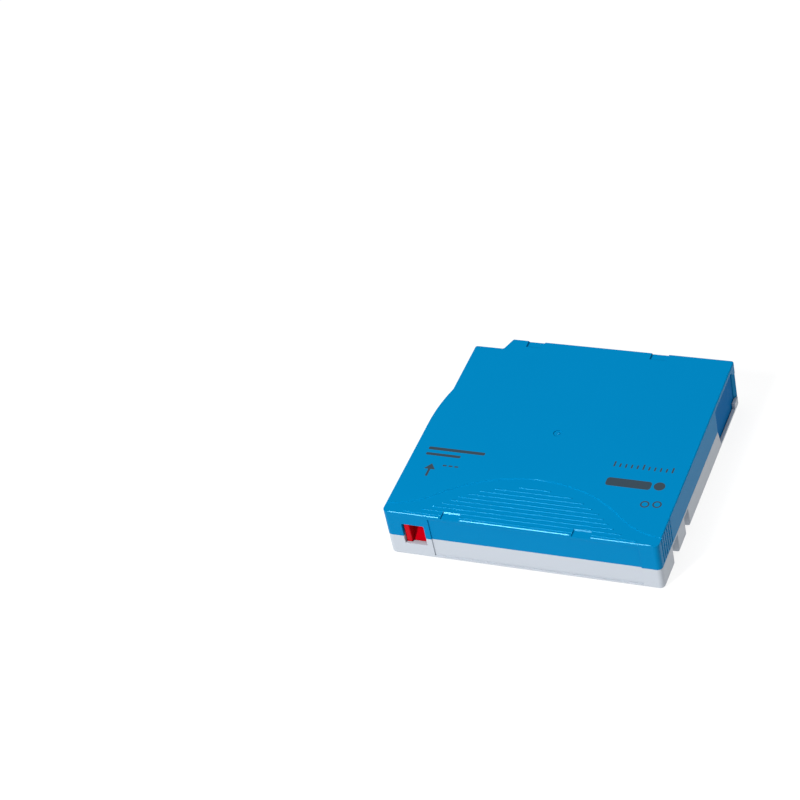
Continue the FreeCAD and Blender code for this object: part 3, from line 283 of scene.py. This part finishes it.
def board_laminate():
    """Memory board: glass cloth laminate under green solder mask, its weave and tracks just showing."""
    material, tree, shader = new_material("green_solder_mask", Roughness=0.3, IOR=1.5)
    place = add_node(tree, "ShaderNodeTexCoord").outputs["Object"]
    thread_mm, track_mm = 0.6, 1.6
    period = math.pi / 10 / MM      # one wave at a scale of 1, in mm
    warp = add_node(tree, "ShaderNodeTexWave", {"Vector": place}, bands_direction="X",
                    Scale=period / thread_mm)
    weft = add_node(tree, "ShaderNodeTexWave", {"Vector": place}, bands_direction="Z",
                    Scale=period / thread_mm)
    cloth = add_node(tree, "ShaderNodeMath", {0: warp.outputs["Fac"], 1: weft.outputs["Fac"]},
                     operation="MAXIMUM")
    loop = add_node(tree, "ShaderNodeTexWave", {"Vector": place}, bands_direction="Z",
                    Scale=period / track_mm)
    track = add_node(tree, "ShaderNodeMapRange", {"Value": loop.outputs["Fac"]}, From_Min=0.6, From_Max=0.7)
    relief = add_node(tree, "ShaderNodeBump", {"Height": cloth.outputs["Value"]}, Distance=0.01 * MM)
    solder_mask = add_node(tree, "ShaderNodeMix", {"Factor": track.outputs["Result"]}, data_type="RGBA",
                           A=srgb("#0F5B2E"), B=srgb("#1D7A42"))
    tree.links.new(solder_mask.outputs["Result"], shader.inputs["Base Color"])
    tree.links.new(relief.outputs["Normal"], shader.inputs["Normal"])
    return material


def rings_round_reel(tree, ring_mm):
    """Noise that varies only with the distance from the reel's axis."""
    place = add_node(tree, "ShaderNodeTexCoord").outputs["Object"]
    centre = (-REEL_AXIS.x, -REEL_AXIS.y, 0)
    flat = add_node(tree, "ShaderNodeMapping", {"Vector": place}, Location=centre, Scale=(1, 1, 0))
    radius = add_node(tree, "ShaderNodeVectorMath", {0: flat.outputs["Vector"]}, operation="LENGTH")
    return add_node(tree, "ShaderNodeTexNoise", {"W": radius.outputs["Value"]}, noise_dimensions="1D",
                    Scale=1 / (ring_mm * MM), Detail=3.0)


def faced_steel():
    """Reel plate: steel faced on a lathe and zinc plated, so fine rings run round its middle."""
    material, tree, shader = new_material("faced_zinc_plated_steel",
                                          Base_Color=srgb("#B9BCC2"), Metallic=1.0)
    cuts = rings_round_reel(tree, 0.45)
    gloss = add_node(tree, "ShaderNodeMapRange", {"Value": cuts.outputs["Fac"]}, To_Min=0.2, To_Max=0.45)
    relief = add_node(tree, "ShaderNodeBump", {"Height": cuts.outputs["Fac"]}, Distance=0.03 * MM)
    tree.links.new(gloss.outputs["Result"], shader.inputs["Roughness"])
    tree.links.new(relief.outputs["Normal"], shader.inputs["Normal"])
    return material


def wound_tape():
    """Tape pack: coated film wound edge to edge, so its flat faces show fine rings.

    The rings are drawn far coarser than the film's thickness so that they show.
    """
    material, tree, shader = new_material("wound_coated_tape", IOR=1.6, Anisotropic=0.5)
    turns = rings_round_reel(tree, 0.3)
    gloss = add_node(tree, "ShaderNodeMapRange", {"Value": turns.outputs["Fac"]}, To_Min=0.22, To_Max=0.42)
    relief = add_node(tree, "ShaderNodeBump", {"Height": turns.outputs["Fac"]}, Distance=0.02 * MM)
    coating = add_node(tree, "ShaderNodeMix", {"Factor": turns.outputs["Fac"]}, data_type="RGBA",
                       A=srgb("#241D1A"), B=srgb("#3B302B"))
    tree.links.new(coating.outputs["Result"], shader.inputs["Base Color"])
    tree.links.new(gloss.outputs["Result"], shader.inputs["Roughness"])
    tree.links.new(relief.outputs["Normal"], shader.inputs["Normal"])
    return material


def leader_film():
    """Leader: calendered polyester film, dark and glossy, with fine lines along its length."""
    material, tree, shader = new_material("calendered_leader_film", IOR=1.64)
    place = add_node(tree, "ShaderNodeTexCoord").outputs["Object"]
    along = add_node(tree, "ShaderNodeMapping", {"Vector": place}, Scale=(0.03, 0.03, 1))
    lines = add_node(tree, "ShaderNodeTexNoise", {"Vector": along.outputs["Vector"]},
                     Scale=1 / (0.25 * MM), Detail=2.0)
    gloss = add_node(tree, "ShaderNodeMapRange", {"Value": lines.outputs["Fac"]}, To_Min=0.12, To_Max=0.26)
    film = add_node(tree, "ShaderNodeMix", {"Factor": lines.outputs["Fac"]}, data_type="RGBA",
                    A=srgb("#2A2320"), B=srgb("#332A26"))
    tree.links.new(film.outputs["Result"], shader.inputs["Base Color"])
    tree.links.new(gloss.outputs["Result"], shader.inputs["Roughness"])
    return material


def zinc_plated_steel():
    """Screws: bright zinc over headed steel."""
    return worked_metal("zinc_plated_steel", "#C2C5CA", 0.32, 0.4, 0.004, (1, 1, 1))


def ground_steel():
    """Leader pin: centreless ground stainless steel, with lines round the pin."""
    return worked_metal("ground_stainless_steel", "#D4D5D6", 0.16, 0.3, 0.002, (0.1, 0.1, 1))


def spring_wire():
    """Springs: hard-drawn stainless wire."""
    return worked_metal("drawn_spring_wire", "#B4B6B8", 0.25, 0.25, 0.002, (1, 1, 1))


FINISHES = {
    "blue_case": blue_polycarbonate,
    "grey_case": grey_polycarbonate,
    "red_slider": red_acetal,
    "reel_plastic": natural_polycarbonate,
    "flange_plastic": clear_polycarbonate,
    "brake_plastic": ivory_acetal,
    "pad_plastic": black_acetal,
    "clamp_plastic": black_nylon,
    "chip": chip_epoxy,
    "board": board_laminate,
    "tape": wound_tape,
    "film": leader_film,
    "steel": zinc_plated_steel,
    "pin_steel": ground_steel,
    "spring_steel": spring_wire,
}
finish = {slot: make() for slot, make in FINISHES.items()}
node_finish = {part["node"]: finish[part["material_slot"]] for part in frame["record"]["subparts"]}
node_finish["door"] = door_polycarbonate_painted_shade()
node_finish["reel_plate"] = faced_steel()
burnished = burnished_polycarbonate()
for node, material in node_finish.items():
    mesh = frame["nodes"][node].data
    mesh.materials.clear()
    mesh.materials.append(material)


# ---- pieces ----
def mesh_piece(name, mesh, material, smooth):
    """A finished piece that moves with the case, with its faces turned outwards."""
    shell = bmesh.new()
    shell.from_mesh(mesh)
    bmesh.ops.recalc_face_normals(shell, faces=shell.faces)
    shell.to_mesh(mesh)
    shell.free()
    mesh.polygons.foreach_set("use_smooth", [smooth] * len(mesh.polygons))
    mesh.materials.clear()
    mesh.materials.append(material)
    piece = bpy.data.objects.new(name, mesh)
    bpy.context.scene.collection.objects.link(piece)
    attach(piece, "case")
    return piece


def lofted(name, rings, material, smooth):
    """A piece whose skin runs from each ring of points to the next, with a flat cap at both ends."""
    count = len(rings[0])
    points = [point for ring in rings for point in ring]
    last = len(points) - count
    faces = [tuple(range(count))[::-1], tuple(range(last, len(points)))]
    for base in range(0, last, count):
        for i in range(count):
            following = (i + 1) % count
            faces.append((base + i, base + following, base + count + following, base + count + i))
    mesh = bpy.data.meshes.new(name)
    mesh.from_pydata(points, [], faces)
    return mesh_piece(name, mesh, material, smooth)


def coil(name, low, high, wire_mm, turns, axis):
    """Closed-end coil of round wire that fills a box along one axis."""
    wire = wire_mm * MM
    along, out = (Vector([float(i == (axis + k) % 3) for i in range(3)]) for k in range(2))
    middle = (low + high) / 2
    radius = (high - low).dot(out) / 2 - wire / 2
    first, last = low[axis] + wire / 2, high[axis] - wire / 2
    dead = CLOSED_TURNS * wire
    pitch = (last - first - 2 * dead) / (turns - 2 * CLOSED_TURNS)
    rings = []
    for step in range(turns * STEPS_PER_TURN + 1):
        turn = step / STEPS_PER_TURN
        if turn < CLOSED_TURNS:
            rise = first + turn * wire
        elif turn > turns - CLOSED_TURNS:
            rise = last - (turns - turn) * wire
        else:
            rise = first + dead + (turn - CLOSED_TURNS) * pitch
        outward = Matrix.Rotation(math.tau * turn, 3, along) @ out
        core = middle + outward * radius + along * (rise - middle[axis])
        leans = [math.tau * side / WIRE_SIDES for side in range(WIRE_SIDES)]
        rings.append([core + (outward * math.cos(lean) + along * math.sin(lean)) * wire / 2
                      for lean in leans])
    return lofted(name, rings, finish["spring_steel"], smooth=True)


def squeezed_by(piece):
    """Gives the coil a mesh of its own."""
    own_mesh(piece)


def coils():
    """Coils of round wire that stand for the frame's two squared springs."""
    low, high = DOOR_COIL
    door = coil("door_return_coil", low, high, DOOR_WIRE, DOOR_TURNS, 1)
    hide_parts("door_spring")
    squeezed_by(door)
    low, high = BRAKE_COIL
    brake = coil("brake_coil", low, high, BRAKE_WIRE, BRAKE_TURNS, 2)
    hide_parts("brake_spring")
    squeezed_by(brake)


def gate_nub():
    """Stub that the moulding gate leaves in its dimple: a low dome with a torn, dished tip."""
    rings = [(0.0, -NUB_FOOT), (NUB_R, -NUB_FOOT), (NUB_R, NUB_HEIGHT * 0.45),
             (NUB_R * 0.75, NUB_HEIGHT * 0.9), (NUB_R * 0.45, NUB_HEIGHT), (0.0, NUB_HEIGHT * 0.8)]
    floor_z = TOP_Z - GATE_DEPTH * MM
    points = []
    for r, z in rings:
        for i in range(NUB_SIDES if r else 1):
            angle = math.tau * i / NUB_SIDES
            reach = r * (1 + NUB_TEAR * math.sin(3 * angle + NUB_TURN)) * MM
            points.append((REEL_AXIS.x + reach * math.cos(angle), REEL_AXIS.y + reach * math.sin(angle),
                           floor_z + z * MM))
    tip = len(points) - 1
    faces = []
    for i in range(NUB_SIDES):
        following = (i + 1) % NUB_SIDES
        faces.append((0, 1 + following, 1 + i))
        for base in range(1, tip - NUB_SIDES, NUB_SIDES):
            faces.append((base + i, base + following, base + NUB_SIDES + following, base + NUB_SIDES + i))
        faces.append((tip - NUB_SIDES + i, tip - NUB_SIDES + following, tip))
    mesh = bpy.data.meshes.new("gate_nub")
    mesh.from_pydata(points, [], faces)
    mesh_piece("gate_nub", mesh, burnished, smooth=True)


def front_crests():
    """Polished crest of the top's front edge, in three runs between the stacking notches.

    Each run is a low ridge on the grip's floor with a 45 degree front, and its ends die away.
    Its profile is given backwards from the front and upwards from its foot.
    """
    foot_z = TOP_Z - CREST_DROP * MM
    for run, (start, end) in enumerate(CREST_RUNS):
        stations = ((start, CREST_END), (start + CREST_TAPER, 1.0),
                    (end - CREST_TAPER, 1.0), (end, CREST_END))
        rings = [[(LEFT_X + x * MM, FRONT_Y + y * MM, foot_z + z * share * MM) for y, z in CREST_PROFILE]
                 for x, share in stations]
        lofted(f"front_crest_{run}", rings, burnished, smooth=False)


def notch_lips():
    """Polished inner slopes of the two front stacking notches.

    The profile is given backwards from the front and upwards from the top.
    """
    for run, ends in enumerate(NOTCH_RUNS):
        rings = [[(LEFT_X + x * MM, FRONT_Y + y * MM, TOP_Z + z * MM) for y, z in LIP_PROFILE]
                 for x in ends]
        lofted(f"notch_lip_{run}", rings, burnished, smooth=False)


def corner_post():
    """Blue facing of the rear right corner post: it laps over the end of the lower wall, behind the door.

    Its outline is given inwards from the right side and from the rear.
    """
    rings = [[(cad_high.x - x * MM, cad_high.y - y * MM, cad_low.z + z * MM) for x, y in POST_PROFILE]
             for z in POST_Z]
    lofted("corner_post", rings, finish["blue_case"], smooth=False)


# ---- print on the top ----
def bar(x0, x1, y0, y1, r):
    """Rounded rectangle, in mm from the case's front left corner."""
    corners = ((x1 - r, y1 - r, 0), (x0 + r, y1 - r, 90), (x0 + r, y0 + r, 180), (x1 - r, y0 + r, 270))
    loop = []
    for cx, cy, start in corners:
        for i in range(7):
            angle = math.radians(start + 15 * i)
            loop.append((cx + r * math.cos(angle), cy + r * math.sin(angle)))
    return loop


def disc(x, y, r):
    """Round spot or the edge of a ring, in mm from the same corner."""
    angles = [math.tau * i / 48 for i in range(48)]
    return [(x + r * math.cos(angle), y + r * math.sin(angle)) for angle in angles]


def insertion_arrow(x, y0, y1, head_w, head_l, stem_w):
    """Arrow that points to the end that goes in first."""
    neck = y1 - head_l
    return [(x - stem_w / 2, y0), (x + stem_w / 2, y0), (x + stem_w / 2, neck), (x + head_w / 2, neck),
            (x, y1), (x - head_w / 2, neck), (x - stem_w / 2, neck)]


def printed(name, loops, ink):
    """Flat shapes of ink, a hair proud of the top. A loop inside another is a hole."""
    curve = bpy.data.curves.new(name, "CURVE")
    curve.dimensions = "2D"
    curve.fill_mode = "BOTH"
    curve.extrude = (INK_THICKNESS + INK_SUNK) / 2 * MM
    for loop in loops:
        spline = curve.splines.new("POLY")
        spline.points.add(len(loop) - 1)
        spline.use_cyclic_u = True
        for point, (x, y) in zip(spline.points, loop):
            point.co = (LEFT_X + x * MM, FRONT_Y + y * MM, 0, 1)
    shape = bpy.data.objects.new(name + "_outline", curve)
    mesh = bpy.data.meshes.new_from_object(shape)
    bpy.data.objects.remove(shape)
    mesh.transform(Matrix.Translation((0, 0, TOP_Z + (INK_THICKNESS - INK_SUNK) / 2 * MM)))
    mesh_piece(name, mesh, ink, smooth=False)


def top_print():
    """Plain bars, ticks, rings and an insertion arrow in two blocks behind the grip."""
    ink = printing_ink()
    dashes = [bar(14.2 + 2.3 * i, 15.8 + 2.3 * i, 26.8, 27.5, 0.3) for i in range(3)]
    ticks = [bar(77.4 + 2.2 * i, 78.0 + 2.2 * i, 37.4, 39.4 + 0.8 * (i % 5 == 0), 0.25) for i in range(11)]
    rings = [disc(x, y, r) for x, y in ((94.6, 20.0), (99.0, 20.6)) for r in (1.7, 1.15)]
    printed("print_title_bars", [bar(5.5, 28.0, 34.9, 36.4, 0.5), bar(5.5, 19.3, 31.9, 33.2, 0.5)], ink)
    printed("print_arrow", [insertion_arrow(9.8, 20.7, 27.5, 4.4, 3.0, 0.9)], ink)
    printed("print_dashes", dashes, ink)
    printed("print_ticks", ticks, ink)
    printed("print_field", [bar(77.2, 94.2, 27.4, 31.6, 1.2), disc(97.2, 29.9, 2.1)], ink)
    printed("print_rings", rings, ink)


coils()
gate_nub()
front_crests()
notch_lips()
corner_post()
top_print()


# ---- studio ----
def studio_floor():
    """Plain pale floor just under the cartridge."""
    reach, gap_mm = 4.0, 0.02
    z = cad_low.z - gap_mm * MM
    corners = [(-reach, -reach, z), (reach, -reach, z), (reach, reach, z), (-reach, reach, z)]
    mesh = bpy.data.meshes.new("studio_floor")
    mesh.from_pydata(corners, [], [(0, 1, 2, 3)])
    floor = bpy.data.objects.new("studio_floor", mesh)
    bpy.context.scene.collection.objects.link(floor)
    board = new_material("matte_white_board", Base_Color=srgb("#7A7A7A"), Roughness=0.9,
                         Specular_IOR_Level=0.1, Emission_Color=srgb("#FFFFFF"), Emission_Strength=0.84)[0]
    mesh.materials.append(board)


def soft_box(name, toward, distance, width, height, power):
    """Oblong area light that looks at the cartridge from a direction."""
    data = bpy.data.lights.new(name, "AREA")
    data.shape = "RECTANGLE"
    data.size = width
    data.size_y = height
    data.energy = power
    lamp = bpy.data.objects.new(name, data)
    bpy.context.scene.collection.objects.link(lamp)
    away = Vector(toward).normalized()
    lamp.location = away * distance
    lamp.rotation_euler = away.to_track_quat("Z", "Y").to_euler()


def studio_world(brightness):
    """Faint even light from all round."""
    world = bpy.data.worlds.new("studio_world")
    bpy.context.scene.world = world
    world.use_nodes = True
    background = world.node_tree.nodes["Background"]
    background.inputs["Color"].default_value = srgb("#F4F6FA")
    background.inputs["Strength"].default_value = brightness


def camera():
    """Long lens from the front right, looking down, with the frame tilted as held by hand."""
    place = Vector(CAMERA_PLACE) * MM
    ahead = Vector(CAMERA_AHEAD).normalized()
    level = ahead.cross(UP).normalized()
    across = Matrix.Rotation(math.radians(CAMERA_ROLL), 3, ahead) @ level
    over = across.cross(ahead)
    data = bpy.data.cameras.new("camera")
    data.lens = CAMERA_LENS
    data.sensor_width = CAMERA_SENSOR
    data.clip_start = 0.01
    cam = bpy.data.objects.new("camera", data)
    bpy.context.scene.collection.objects.link(cam)
    cam.matrix_world = Matrix.Translation(place) @ Matrix((across, over, -ahead)).transposed().to_4x4()
    bpy.context.scene.camera = cam


studio_floor()
studio_world(0.1)
soft_box("key_light", toward=(-0.335, -0.71, 0.62), distance=1.7, width=0.2, height=0.65, power=25.4)
soft_box("top_light", toward=(0.0, 0.1, 1.0), distance=1.2, width=0.9, height=0.9, power=9.9)
camera()
bpy.context.scene.view_settings.view_transform = "Standard"
